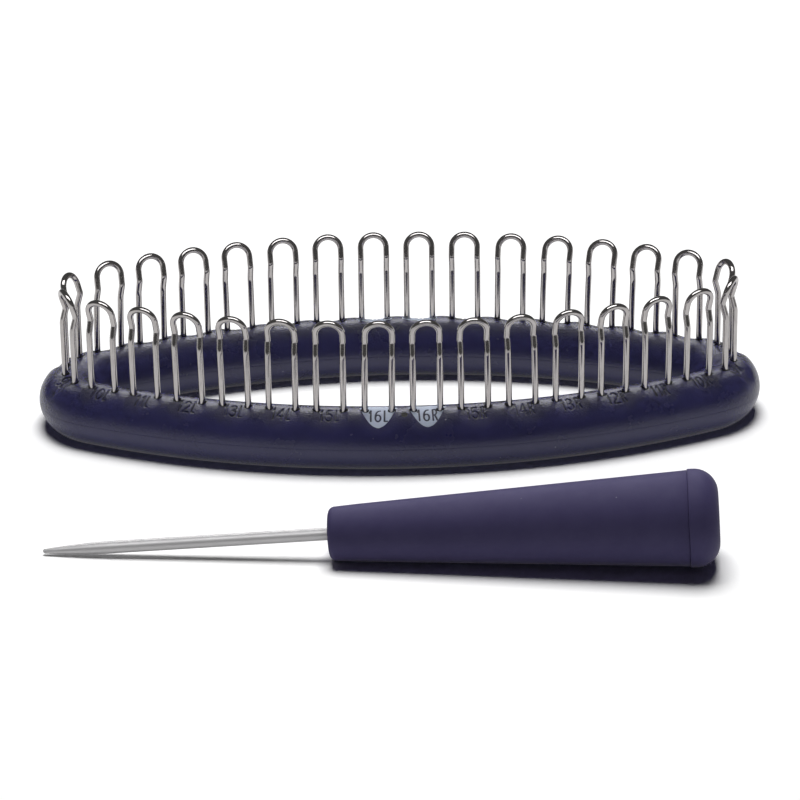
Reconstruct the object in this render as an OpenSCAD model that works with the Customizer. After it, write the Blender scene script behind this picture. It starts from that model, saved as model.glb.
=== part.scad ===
// Sock knitting loom: an oval ring of wire pins with its pick.
// Lengths are in millimetres and angles in degrees.
// X runs along the ring, Y away from the front row, Z up from the table.

/* [Ring] */
// Length of the oval line that the pins stand on
pin_line_length = 152; // [140:1:180]
// Width of the oval line that the pins stand on
pin_line_width = 56; // [50:1:70]
// Radius of the oval line at its two ends
end_radius = 12; // [11:0.5:15]
// Diameter of the round ring section
ring_d = 14; // [13:0.5:15]
// Depth of the flat foot cut from the bottom of the round section
foot_cut = 0.8; // [0.4:0.1:1.2]
// How far the crest of the section lies inside the pin line
crest_inset = 0.5; // [0:0.1:1]
// Wall of the two hollow mouldings
ring_wall = 2; // [1.8:0.1:2.6]
// Width of the solid spine that carries the pin legs
spine_w = 4.8; // [4:0.2:6]
// Width of the locating tongue on the lower moulding
tongue_w = 0.8; // [0.6:0.1:1]
// Height of the locating tongue
tongue_h = 0.8; // [0.5:0.1:1.2]
// Clearance round the locating tongue
tongue_gap = 0.1; // [0.05:0.05:0.2]

/* [Scoops] */
// Greatest depth of the hollow at each pin
scoop_depth = 0.65; // [0.3:0.05:0.9]
// Angle from the top of the section to the outer tip of a hollow
scoop_reach = 50; // [40:1:60]
// Angle from the top of the section to the deepest place
scoop_centre = 5; // [0:1:10]
// Radius of a hollow along the row
scoop_round = 12; // [9:0.5:15]
// Diameter of the front marker dimple
marker_d = 1.4; // [1:0.1:2]
// Depth of the front marker dimple
marker_depth = 0.5; // [0.3:0.1:0.8]
// Angle from the top of the section to the marker dimple
marker_angle = 15; // [5:1:30]

/* [Pins] */
// Number of pins on each half of the oval
side_pins = 16; // [12:1:18]
// Diameter of the pin wire
wire_d = 1.4; // [1:0.1:1.8]
// Distance between the two leg axes of a pin
leg_spacing = 6; // [5:0.25:6.5]
// Height of a pin above the crest of the ring
pin_height = 21.2; // [18:0.2:26]
// Depth of a leg below the crest of the ring
leg_depth = 9.8; // [8.5:0.1:11]
// Height of the kink above the crest of the ring
kink_height = 15.4; // [13.5:0.1:16]
// Inward offset of the kink
kink_inset = 0.9; // [0.4:0.1:1.4]
// Slope of the wire on both sides of the kink
kink_slope = 16.26; // [10:0.5:22]
// Radial clearance of a leg in its socket
leg_gap = 0.02; // [0.01:0.01:0.05]
// Free depth below the end of a leg
leg_end_gap = 0.2; // [0.1:0.1:0.5]
// Diameter of the open mouth round each leg
mouth_d = 2; // [1.9:0.1:2.6]
// Depth of the mouth below the crest
mouth_depth = 1.2; // [1:0.1:1.8]

/* [Pick] */
// Length of the handle sleeve from its nose to the cap seam
sleeve_length = 74.7; // [60:1:90]
// Diameter of the handle at the nose
nose_d = 11.3; // [10:0.1:13]
// Diameter of the handle at the cap seam
seam_d = 19.9; // [17:0.1:22]
// Edge rounding at the nose
nose_round = 1.4; // [0.6:0.1:2]
// Dome height of the nose face
nose_dome = 0.6; // [0.2:0.1:1]
// Wall of the hollow sleeve
sleeve_wall = 2.2; // [1.8:0.1:2.6]
// Length of the solid nose
nose_solid = 22; // [20:0.5:28]
// Length of the cap behind the seam
cap_length = 6.3; // [5.5:0.1:8]
// How far the cap lip stands proud of the sleeve
cap_lip = 0.25; // [0.1:0.05:0.4]
// Edge rounding of the cap
cap_round = 5; // [3:0.25:5.25]
// Length of the cap spigot inside the sleeve
spigot_length = 6; // [4:0.5:9]
// Wall of the cap spigot
spigot_wall = 1.6; // [1.2:0.1:2.4]
// Radial clearance of the cap spigot
spigot_gap = 0.05; // [0.02:0.01:0.1]
// Diameter of the pick needle
needle_d = 2.65; // [2.2:0.05:3.2]
// Length of needle outside the handle
needle_length = 60.5; // [50:0.5:75]
// Length of needle held in the nose
needle_hold = 18; // [12:0.5:19.5]
// Length of the taper at the tip
taper_length = 15; // [10:0.5:20]
// Diameter of the blunt tip
tip_d = 1; // [0.8:0.1:1.6]
// Radial clearance of the needle in the nose
needle_gap = 0.02; // [0.01:0.01:0.05]
// Gap left below the tip where the pick lies on the table
tip_lift = 0.3; // [0.1:0.1:1]
// Sideways place of the handle nose on the table
pick_x = -16.5; // [-30:0.5:0]
// Gap between the ring and the nose of the pick on the table
pick_reach = 36; // [28:0.5:50]
// Turn of the pick on the table
pick_turn = -4.5; // [-12:0.5:4]

/* [Hidden] */
eps = 0.5;
far = 40;
fn_sweep = 180;
fn_tube = 96;
fn_small = 32;
arc_steps = 10;

// Four-arc oval: two end arcs and two side arcs that meet in line
half_l = pin_line_length / 2;
half_w = pin_line_width / 2;
end_cx = half_l - end_radius;
side_r = (end_cx * end_cx + half_w * half_w - end_radius * end_radius)
    / (2 * (half_w - end_radius));
side_cy = side_r - half_w;
end_sweep = atan2(side_cy, end_cx);
side_len = side_r * (90 - end_sweep) * PI / 180;
end_len = end_radius * end_sweep * PI / 180;
quarter = side_len + end_len;
pitch = 2 * quarter / side_pins;

// Ring section, with the tube centre inside the pin line
ring_r = ring_d / 2;
seam_z = ring_r - foot_cut;
crest_z = seam_z + ring_r;
tube_q = -crest_inset;
bore_r = ring_r - ring_wall;
tongue_q = ring_r - ring_wall / 2;

// Hollow at each pin: a ring-shaped cutter set low round the section
scoop_span = scoop_reach - scoop_centre;
scoop_drop = scoop_depth / (1 - cos(scoop_span));
scoop_hole = ring_r + scoop_drop * cos(scoop_span);
scoop_q = tube_q - scoop_drop * sin(scoop_centre);
scoop_z = seam_z - scoop_drop * cos(scoop_centre);

// Wire pin, from its leg ends up to the arch
wire_r = wire_d / 2;
ball_r = wire_r * 1.02;
trim = wire_r * 0.06;
leg_bottom = crest_z - leg_depth;
kink_z = crest_z + kink_height;
lean_z = kink_z - kink_inset / tan(kink_slope);
arch_r = leg_spacing / 2;
arch_top = crest_z + pin_height - wire_r;
rise = (arch_top - kink_z) / cos(kink_slope) - arch_r;
spring_q = -kink_inset + rise * sin(kink_slope);
spring_z = kink_z + rise * cos(kink_slope);

// Pick, along its own axis from the nose at zero to the butt
nose_r = nose_d / 2;
seam_r = seam_d / 2;
lip_r = seam_r + cap_lip;
pick_length = sleeve_length + cap_length;
sleeve_slope = (seam_r - nose_r) / sleeve_length;
needle_r = needle_d / 2;
tip_r = tip_d / 2;
spigot_r = seam_r - sleeve_wall;
socket_end = sleeve_length - spigot_length - 1;
rest_tilt = atan2(lip_r - nose_r - sleeve_slope * nose_round, sleeve_length - nose_round);
nose_z = (nose_r + sleeve_slope * nose_round) * cos(rest_tilt) - nose_round * sin(rest_tilt);
// The needle is set down from the handle axis so that its tip almost meets the table
needle_tilt = asin((nose_z - tip_r - tip_lift) / needle_length);
pick_y = -(half_w + tube_q + ring_r + pick_reach + nose_r);

// Place on the quarter from the front middle: x, y and the outward direction
function on_quarter(s) = s <= side_len
    ? let (t = s / side_r * 180 / PI)
        [side_r * sin(t), side_cy - side_r * cos(t), t - 90]
    : let (t = end_sweep - (s - side_len) / end_radius * 180 / PI)
        [end_cx + end_radius * cos(t), -end_radius * sin(t), -t];

// Place on the right half, from the front middle round to the back middle
function on_half(s) = s <= quarter
    ? on_quarter(s)
    : let (p = on_quarter(2 * quarter - s)) [p[0], -p[1], -p[2]];

// Pin 1 is at the back middle and the last one at the front middle
function pin_place(i) = on_half((side_pins - i + 0.5) * pitch);

// Points of a round corner from one angle to another
function corner(cx, cy, r, a0, a1) = [
    for (k = [0:arc_steps])
        let (a = a0 + (a1 - a0) * k / arc_steps) [cx + r * cos(a), cy + r * sin(a)]
];

// Puts its children at pin i, with X outward and Y along the row
module at_pin(i, left) {
    p = pin_place(i);
    mirror([left ? 1 : 0, 0, 0])
        translate([p[0], p[1], 0])
            rotate([0, 0, p[2]])
                children();
}

module at_every_pin() {
    for (i = [1:side_pins]) {
        at_pin(i, false) children();
        at_pin(i, true) children();
    }
}

// Sector of the plan that belongs to one long side
module side_sector(front) {
    s = front ? 1 : -1;
    translate([0, 0, -far])
        linear_extrude(2 * far)
            polygon([[0, s * side_cy], [2 * end_cx, -s * side_cy], [-2 * end_cx, -s * side_cy]]);
}

// Sweeps a section round the oval, with the pin line at x = 0 of the section
module oval_sweep() {
    for (front = [true, false])
        intersection() {
            translate([0, front ? side_cy : -side_cy, 0])
                rotate_extrude($fn = fn_sweep * 2)
                    translate([side_r, 0]) children();
            side_sector(front);
        }
    for (side = [1, -1])
        difference() {
            translate([side * end_cx, 0, 0])
                rotate_extrude($fn = fn_sweep)
                    translate([end_radius, 0]) children();
            side_sector(true);
            side_sector(false);
        }
}

// Half of the round section above or below the seam, with its foot
module half_section(top) {
    intersection() {
        translate([tube_q, seam_z]) circle(r = ring_r, $fn = fn_tube);
        translate([tube_q - ring_r - eps, top ? seam_z : 0])
            square([2 * ring_r + 2 * eps, top ? 2 * ring_r : seam_z]);
    }
}

// Two channels beside the spine, open at the seam
module channels(z0, z1) {
    difference() {
        intersection() {
            translate([tube_q, seam_z]) circle(r = bore_r, $fn = fn_tube);
            translate([tube_q - ring_r, z0]) square([2 * ring_r, z1 - z0]);
        }
        translate([-spine_w / 2, 0]) square([spine_w, 2 * ring_r + far]);
    }
}

// Locating tongue on the inner and outer walls
module tongues(gap, z0, z1) {
    for (s = [-1, 1])
        translate([tube_q + s * tongue_q - tongue_w / 2 - gap, z0])
            square([tongue_w + 2 * gap, z1 - z0]);
}

module top_section() {
    difference() {
        half_section(true);
        channels(seam_z - eps, crest_z);
        tongues(tongue_gap, seam_z - eps, seam_z + tongue_h + tongue_gap);
    }
}

module base_section() {
    difference() {
        half_section(false);
        channels(ring_wall, seam_z + eps);
    }
    tongues(0, seam_z - tongue_h, seam_z + tongue_h);
}

// Leg holes of one pin, with an open mouth at the top
module leg_holes() {
    for (s = [-1, 1])
        translate([0, s * leg_spacing / 2, leg_bottom - leg_end_gap])
            rotate_extrude($fn = fn_small)
                polygon([
                    [0, 0],
                    [wire_r + leg_gap, 0],
                    [wire_r + leg_gap, leg_depth + leg_end_gap - mouth_depth],
                    [mouth_d / 2, leg_depth + leg_end_gap - mouth_depth],
                    [mouth_d / 2, leg_depth + leg_end_gap + eps],
                    [0, leg_depth + leg_end_gap + eps]
                ]);
}

// Hollow at one pin, kept to its own stretch of the row
module scoop() {
    intersection() {
        translate([scoop_q, 0, scoop_z])
            rotate([90, 0, 0])
                rotate_extrude($fn = fn_tube)
                    translate([scoop_hole + scoop_round, 0]) circle(r = scoop_round, $fn = fn_tube);
        translate([tube_q - ring_r, -pitch / 2, seam_z + ring_r / 4])
            cube([2 * ring_r, pitch, ring_r]);
    }
}

module ring_top() {
    color("#2c2a4a")
        difference() {
            oval_sweep() top_section();
            at_every_pin() {
                scoop();
                leg_holes();
            }
            translate([0, -half_w - tube_q, seam_z])
                rotate([marker_angle, 0, 0])
                    translate([0, 0, ring_r - marker_depth])
                        cylinder(d = marker_d, h = marker_depth + eps, $fn = fn_small);
        }
}

module ring_base() {
    color("#262443")
        difference() {
            oval_sweep() base_section();
            at_every_pin() leg_holes();
        }
}

// Straight wire between two points of the side view, short of both joints
module wire(q0, z0, q1, z1, t0, t1) {
    run = norm([q1 - q0, z1 - z0]);
    translate([q0, 0, z0])
        rotate([0, atan2(q1 - q0, z1 - z0), 0])
            translate([0, 0, t0])
                cylinder(r = wire_r, h = run - t0 - t1, $fn = fn_small);
}

module joint_ball(q, z) {
    translate([q, 0, z]) sphere(r = ball_r, $fn = fn_small);
}

// Bent wire pin: two legs, a kink to the inside and an arch that leans out
module wire_pin() {
    for (s = [-1, 1])
        translate([0, s * leg_spacing / 2, 0]) {
            wire(0, leg_bottom, 0, lean_z, 0, trim);
            joint_ball(0, lean_z);
            wire(0, lean_z, -kink_inset, kink_z, trim, trim);
            joint_ball(-kink_inset, kink_z);
            wire(-kink_inset, kink_z, spring_q, spring_z, trim, trim);
            joint_ball(spring_q, spring_z);
        }
    arch_trim = trim / arch_r * 180 / PI;
    translate([spring_q, 0, spring_z])
        rotate([0, kink_slope, 0])
            rotate([90, 0, 90])
                rotate_extrude(angle = 180 - 2 * arch_trim, start = arch_trim, $fn = fn_tube)
                    translate([arch_r, 0]) circle(r = wire_r, $fn = fn_small);
}

module pin_l(i) {
    color("silver") at_pin(i, true) wire_pin();
}

module pin_r(i) {
    color("silver") at_pin(i, false) wire_pin();
}

// Lays the pick on the table, with its own Z from the nose to the butt
module lay_pick() {
    translate([pick_x, pick_y, nose_z])
        rotate([0, 0, pick_turn])
            rotate([0, 90 - rest_tilt, 0])
                children();
}

// Sets the needle on its own axis, with Z pointing into the handle
module set_needle() {
    rotate([0, rest_tilt - needle_tilt, 0]) children();
}

module pick_handle() {
    dome_r = (nose_r * nose_r + nose_dome * nose_dome) / (2 * nose_dome);
    edge = nose_round;
    color("#2f2c4a")
        lay_pick()
            difference() {
                rotate_extrude($fn = fn_tube)
                    polygon(concat(
                        [[0, -nose_dome + edge * 0.2]],
                        corner(nose_r - edge, edge, edge, -80, 0),
                        [[seam_r, sleeve_length], [0, sleeve_length]]
                    ));
                rotate_extrude($fn = fn_tube)
                    polygon([
                        [0, nose_solid],
                        [nose_r + sleeve_slope * nose_solid - sleeve_wall, nose_solid],
                        [nose_r + sleeve_slope * socket_end - sleeve_wall, socket_end],
                        [spigot_r, socket_end],
                        [spigot_r, sleeve_length + eps],
                        [0, sleeve_length + eps]
                    ]);
                set_needle()
                    translate([0, 0, -2 * nose_dome - 1])
                        cylinder(
                            r = needle_r + needle_gap,
                            h = needle_hold + 2 * nose_dome + 1,
                            $fn = fn_small
                        );
            }
}

module pick_cap() {
    color("#2f2c4a")
        lay_pick()
            translate([0, 0, sleeve_length])
                rotate_extrude($fn = fn_tube)
                    polygon(concat(
                        [[0, 0], [spigot_r - spigot_gap - spigot_wall, 0]],
                        [[spigot_r - spigot_gap - spigot_wall, -spigot_length]],
                        [[spigot_r - spigot_gap, -spigot_length], [spigot_r - spigot_gap, 0]],
                        [[lip_r, 0]],
                        corner(lip_r - cap_round, cap_length - cap_round, cap_round, 0, 90),
                        [[0, cap_length]]
                    ));
}

module pick_needle() {
    color("#c9cbd0")
        lay_pick()
            set_needle()
                rotate_extrude($fn = fn_tube)
                    polygon(concat(
                        [[0, needle_hold - leg_end_gap], [0, -needle_length]],
                        corner(0, -needle_length + tip_r, tip_r, -80, 0),
                        [[needle_r, -needle_length + taper_length]],
                        [[needle_r, needle_hold - leg_end_gap]]
                    ));
}

ring_top();
ring_base();
for (i = [1:side_pins]) {
    pin_l(i);
    pin_r(i);
}
pick_handle();
pick_cap();
pick_needle();
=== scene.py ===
"""Looks of the sock knitting loom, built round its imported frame.

Sizes are in millimetres in the classes and turned to metres when a mesh is made.
"""

import logging
import math
from dataclasses import dataclass, field
from enum import Enum

import bpy
import numpy as np
from mathutils import Matrix, Vector


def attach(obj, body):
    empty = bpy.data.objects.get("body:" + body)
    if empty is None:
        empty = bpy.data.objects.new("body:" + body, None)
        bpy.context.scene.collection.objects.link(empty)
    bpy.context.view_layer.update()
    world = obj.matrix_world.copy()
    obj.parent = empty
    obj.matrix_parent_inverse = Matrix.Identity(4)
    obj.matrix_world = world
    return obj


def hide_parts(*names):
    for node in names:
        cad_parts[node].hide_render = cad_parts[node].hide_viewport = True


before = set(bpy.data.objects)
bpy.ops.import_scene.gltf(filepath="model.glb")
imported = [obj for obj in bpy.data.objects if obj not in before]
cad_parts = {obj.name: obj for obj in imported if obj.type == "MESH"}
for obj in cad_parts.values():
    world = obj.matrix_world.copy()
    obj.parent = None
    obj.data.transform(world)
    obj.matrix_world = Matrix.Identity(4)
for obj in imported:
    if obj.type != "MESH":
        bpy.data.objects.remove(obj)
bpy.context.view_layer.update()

LOG = logging.getLogger("loom")
MM = 0.001
SEED = 16

Colour = tuple[float, float, float]
Polyline = list[tuple[float, float]]


class Body(Enum):
    """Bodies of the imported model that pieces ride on."""

    LOOM = "loom"
    PICK = "pick"


class Slot(Enum):
    """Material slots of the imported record."""

    RING = "ring_plastic"
    WIRE = "pin_wire"
    HANDLE = "handle_plastic"
    NEEDLE = "needle_metal"


class Side(Enum):
    """The two halves of the pin row, with the letter on their labels."""

    LEFT = "L"
    RIGHT = "R"


def srgb(red: int, green: int, blue: int) -> Colour:
    """Turns a written 0 to 255 colour into linear values.

    Args:
        red: Red from 0 to 255.
        green: Green from 0 to 255.
        blue: Blue from 0 to 255.

    Returns:
        The linear colour.
    """
    parts = []
    for value in (red, green, blue):
        c = value / 255.0
        parts.append(c / 12.92 if c <= 0.04045 else ((c + 0.055) / 1.055) ** 2.4)
    return parts[0], parts[1], parts[2]


def soft_step(low: float, high: float, x: np.ndarray) -> np.ndarray:
    """Smooth step from 0 at low to 1 at high.

    Args:
        low: Value that gives 0.
        high: Value that gives 1.
        x: Values to step.

    Returns:
        The stepped values.
    """
    t = np.clip((x - low) / (high - low), 0.0, 1.0)
    return t * t * (3.0 - 2.0 * t)


def soft_positive(x: np.ndarray, width: float) -> np.ndarray:
    """Positive part of x with a rounded corner of the given width."""
    return 0.5 * (x + np.sqrt(x * x + width * width))


def grid_quads(columns: int, rows: int, wrap_columns: bool, wrap_rows: bool) -> np.ndarray:
    """Quads of a grid whose vertices run row by row inside each column.

    Args:
        columns: Number of vertex columns.
        rows: Number of vertex rows.
        wrap_columns: Whether the last column joins the first.
        wrap_rows: Whether the last row joins the first.

    Returns:
        An array of four vertex numbers per quad.
    """
    c = np.arange(columns if wrap_columns else columns - 1)
    r = np.arange(rows if wrap_rows else rows - 1)
    cc, rr = np.meshgrid(c, r, indexing="ij")
    c2, r2 = (cc + 1) % columns, (rr + 1) % rows
    quads = np.stack(
        [cc * rows + rr, cc * rows + r2, c2 * rows + r2, c2 * rows + rr], axis=-1
    )
    return quads.reshape(-1, 4)


def make_piece(name: str, points: np.ndarray, faces: list[list[int]]) -> bpy.types.Object:
    """Makes a smooth mesh object from points in millimetres.

    Args:
        name: Name of the piece.
        points: One row of x, y, z per vertex.
        faces: Vertex numbers of each face.

    Returns:
        The new object, linked to the scene.
    """
    mesh = bpy.data.meshes.new(name)
    mesh.from_pydata((np.asarray(points) * MM).tolist(), [], faces)
    mesh.validate()
    mesh.shade_smooth()
    piece = bpy.data.objects.new(name, mesh)
    bpy.context.scene.collection.objects.link(piece)
    return piece


def add_value(piece: bpy.types.Object, name: str, values: np.ndarray) -> None:
    """Stores one number per vertex for the shader to read.

    Args:
        piece: Mesh object.
        name: Name of the stored value.
        values: One number per vertex.
    """
    store = piece.data.attributes.new(name, "FLOAT", "POINT")
    store.data.foreach_set("value", np.asarray(values, np.float32).ravel())


def add_vector(piece: bpy.types.Object, name: str, values: np.ndarray) -> None:
    """Stores one vector per vertex for the shader to read.

    Args:
        piece: Mesh object.
        name: Name of the stored vector.
        values: Three numbers per vertex.
    """
    store = piece.data.attributes.new(name, "FLOAT_VECTOR", "POINT")
    store.data.foreach_set("vector", np.asarray(values, np.float32).ravel())


def place_piece(
    piece: bpy.types.Object, body: Body, nodes: list[str]
) -> bpy.types.Object:
    """Puts a piece on its body and the solids it stands for.

    Args:
        piece: Mesh object in the shared frame.
        body: Body that it moves with.
        nodes: Solids of the frame that it stands for.

    Returns:
        The same object.
    """
    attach(piece, body.value)
    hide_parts(*nodes)
    LOG.info("%s: %d faces on %s", piece.name, len(piece.data.polygons), body.value)
    return piece


@dataclass(frozen=True)
class OvalLine:
    """Oval of four arcs that the pins stand on, run from the front middle to the right."""

    half_length: float = 76.0
    half_width: float = 28.0
    end_radius: float = 12.0

    @property
    def end_x(self) -> float:
        """Middle of an end arc along X."""
        return self.half_length - self.end_radius

    @property
    def side_radius(self) -> float:
        """Radius of the long side arcs."""
        rise = self.half_width - self.end_radius
        chord = self.end_x**2 + self.half_width**2 - self.end_radius**2
        return chord / (2.0 * rise)

    @property
    def side_y(self) -> float:
        """Middle of the front arc along Y."""
        return self.side_radius - self.half_width

    @property
    def end_sweep(self) -> float:
        """Angle that one quarter of the end arc covers."""
        return math.atan2(self.side_y, self.end_x)

    @property
    def side_length(self) -> float:
        """Length of one quarter's side arc."""
        return self.side_radius * (math.pi / 2 - self.end_sweep)

    @property
    def quarter(self) -> float:
        """Length of one quarter of the oval."""
        return self.side_length + self.end_radius * self.end_sweep

    def place(self, s: np.ndarray) -> tuple[np.ndarray, np.ndarray, np.ndarray]:
        """Places on the oval at run lengths s.

        Args:
            s: Lengths from the front middle, to the right first.

        Returns:
            X, Y and the outward direction angle of each place.
        """
        whole = 4.0 * self.quarter
        t = np.mod(np.asarray(s, float), whole)
        left = t > whole / 2
        t = np.where(left, whole - t, t)
        back = t > self.quarter
        t = np.where(back, 2.0 * self.quarter - t, t)
        on_side = t <= self.side_length
        a = t / self.side_radius
        b = self.end_sweep - (t - self.side_length) / self.end_radius
        x = np.where(
            on_side,
            self.side_radius * np.sin(a),
            self.end_x + self.end_radius * np.cos(b),
        )
        y = np.where(
            on_side,
            self.side_y - self.side_radius * np.cos(a),
            -self.end_radius * np.sin(b),
        )
        out = np.where(on_side, a - math.pi / 2, -b)
        y, out = np.where(back, -y, y), np.where(back, -out, out)
        x, out = np.where(left, -x, x), np.where(left, math.pi - out, out)
        return x, y, out


@dataclass(frozen=True)
class PinRow:
    """Order of the pins round the oval."""

    line: OvalLine = OvalLine()
    per_side: int = 16
    leg_spacing: float = 6.0

    @property
    def pitch(self) -> float:
        """Run length from one pin to the next."""
        return 2.0 * self.line.quarter / self.per_side

    @property
    def count(self) -> int:
        """Number of pins on the whole oval."""
        return 2 * self.per_side

    def side_and_number(self, k: int) -> tuple[Side, int]:
        """Side and index number of the pin in place k, from the front middle to the right."""
        if k < self.per_side:
            return Side.RIGHT, self.per_side - k
        return Side.LEFT, k - self.per_side + 1

    def label(self, k: int) -> str:
        """Index label of the pin in place k."""
        side, number = self.side_and_number(k)
        return f"{number}{side.value}"

    def node(self, k: int) -> str:
        """Name of the frame's solid for the pin in place k."""
        side, number = self.side_and_number(k)
        return f"pin_{side.value.lower()}{number}"

    def run(self, k: float) -> float:
        """Run length of place k."""
        return (k + 0.5) * self.pitch


@dataclass(frozen=True)
class IndexFont:
    """Single-stroke figures for the index labels, drawn in a unit box."""

    height: float = 3.6
    digit_width: float = 1.24
    one_width: float = 0.5
    letter_widths: tuple[float, float] = (0.62, 0.86)
    gap: float = 0.82
    stroke: float = 0.42
    steps: int = 12

    def _arc(
        self, cx: float, cy: float, rx: float, ry: float, start: float, end: float
    ) -> Polyline:
        """Points of an arc of an ellipse.

        Args:
            cx: Middle across.
            cy: Middle up.
            rx: Radius across.
            ry: Radius up.
            start: First angle in degrees.
            end: Last angle in degrees.

        Returns:
            The points in order.
        """
        angles = np.radians(np.linspace(start, end, self.steps + 1))
        return [(cx + rx * math.cos(a), cy + ry * math.sin(a)) for a in angles]

    def glyph(self, mark: str) -> list[Polyline]:
        """Strokes of one figure or letter.

        Args:
            mark: A digit, L or R.

        Returns:
            Lines of points in a box of one by one.
        """
        arc = self._arc
        strokes: dict[str, list[Polyline]] = {
            "0": [arc(0.5, 0.5, 0.5, 0.5, 90, 450)],
            "1": [[(0.0, 0.74), (0.7, 1.0), (0.7, 0.0)]],
            "2": [arc(0.48, 0.7, 0.46, 0.3, 165, -30) + [(0.0, 0.0), (1.0, 0.0)]],
            "3": [
                arc(0.44, 0.75, 0.44, 0.25, 155, -90)
                + arc(0.44, 0.26, 0.54, 0.26, 90, -155)
            ],
            "4": [[(0.72, 0.0), (0.72, 1.0), (0.0, 0.28), (1.0, 0.28)]],
            "5": [
                [(0.92, 1.0), (0.14, 1.0), (0.06, 0.52)]
                + arc(0.44, 0.32, 0.54, 0.32, 128, -150)
            ],
            "6": [
                arc(0.5, 0.3, 0.48, 0.3, 90, 450),
                [(0.02, 0.3), (0.06, 0.58), (0.24, 0.83), (0.52, 0.97), (0.86, 1.0)],
            ],
            "7": [[(0.0, 1.0), (1.0, 1.0), (0.36, 0.0)]],
            "8": [
                arc(0.5, 0.76, 0.4, 0.24, 90, 450),
                arc(0.5, 0.26, 0.5, 0.26, 90, 450),
            ],
            "9": [
                arc(0.5, 0.7, 0.48, 0.3, 90, 450),
                [(0.98, 0.7), (0.94, 0.42), (0.76, 0.17), (0.48, 0.03), (0.14, 0.0)],
            ],
            "L": [[(0.0, 1.0), (0.0, 0.0), (1.0, 0.0)]],
            "R": [
                [(0.0, 0.0), (0.0, 1.0), (0.45, 1.0)]
                + arc(0.45, 0.74, 0.5, 0.26, 90, -90)
                + [(0.0, 0.48)],
                [(0.45, 0.48), (1.0, 0.0)],
            ],
        }
        return strokes[mark]

    def width_of(self, mark: str) -> float:
        """Width of one figure or letter in millimetres."""
        if mark == "1":
            return self.one_width
        if mark.isdigit():
            return self.digit_width
        return self.letter_widths[mark == Side.RIGHT.value]

    def segments(self, text: str) -> np.ndarray:
        """Straight pieces of a whole label, centred on zero.

        Args:
            text: Label to lay out.

        Returns:
            One row of x0, y0, x1, y1 per piece, in millimetres.
        """
        widths = [self.width_of(mark) for mark in text]
        x = -0.5 * (sum(widths) + self.gap * (len(text) - 1))
        rows = []
        for mark, width in zip(text, widths):
            for line in self.glyph(mark):
                pts = [(x + px * width, (py - 0.5) * self.height) for px, py in line]
                rows += [[*p, *q] for p, q in zip(pts[:-1], pts[1:])]
            x += width + self.gap
        return np.array(rows)

    def distance(self, text: str, u: np.ndarray, v: np.ndarray) -> np.ndarray:
        """Distance from points to the edge of a label's strokes, less than 0 inside.

        Args:
            text: Label.
            u: Places across, from the label's middle.
            v: Places up, from the label's middle.

        Returns:
            One distance per point.
        """
        best = np.full(u.shape, 9.0)
        for x0, y0, x1, y1 in self.segments(text):
            dx, dy = x1 - x0, y1 - y0
            t = ((u - x0) * dx + (v - y0) * dy) / max(dx * dx + dy * dy, 1e-9)
            t = np.clip(t, 0.0, 1.0)
            best = np.minimum(best, np.hypot(u - x0 - t * dx, v - y0 - t * dy))
        return best - self.stroke / 2


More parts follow.
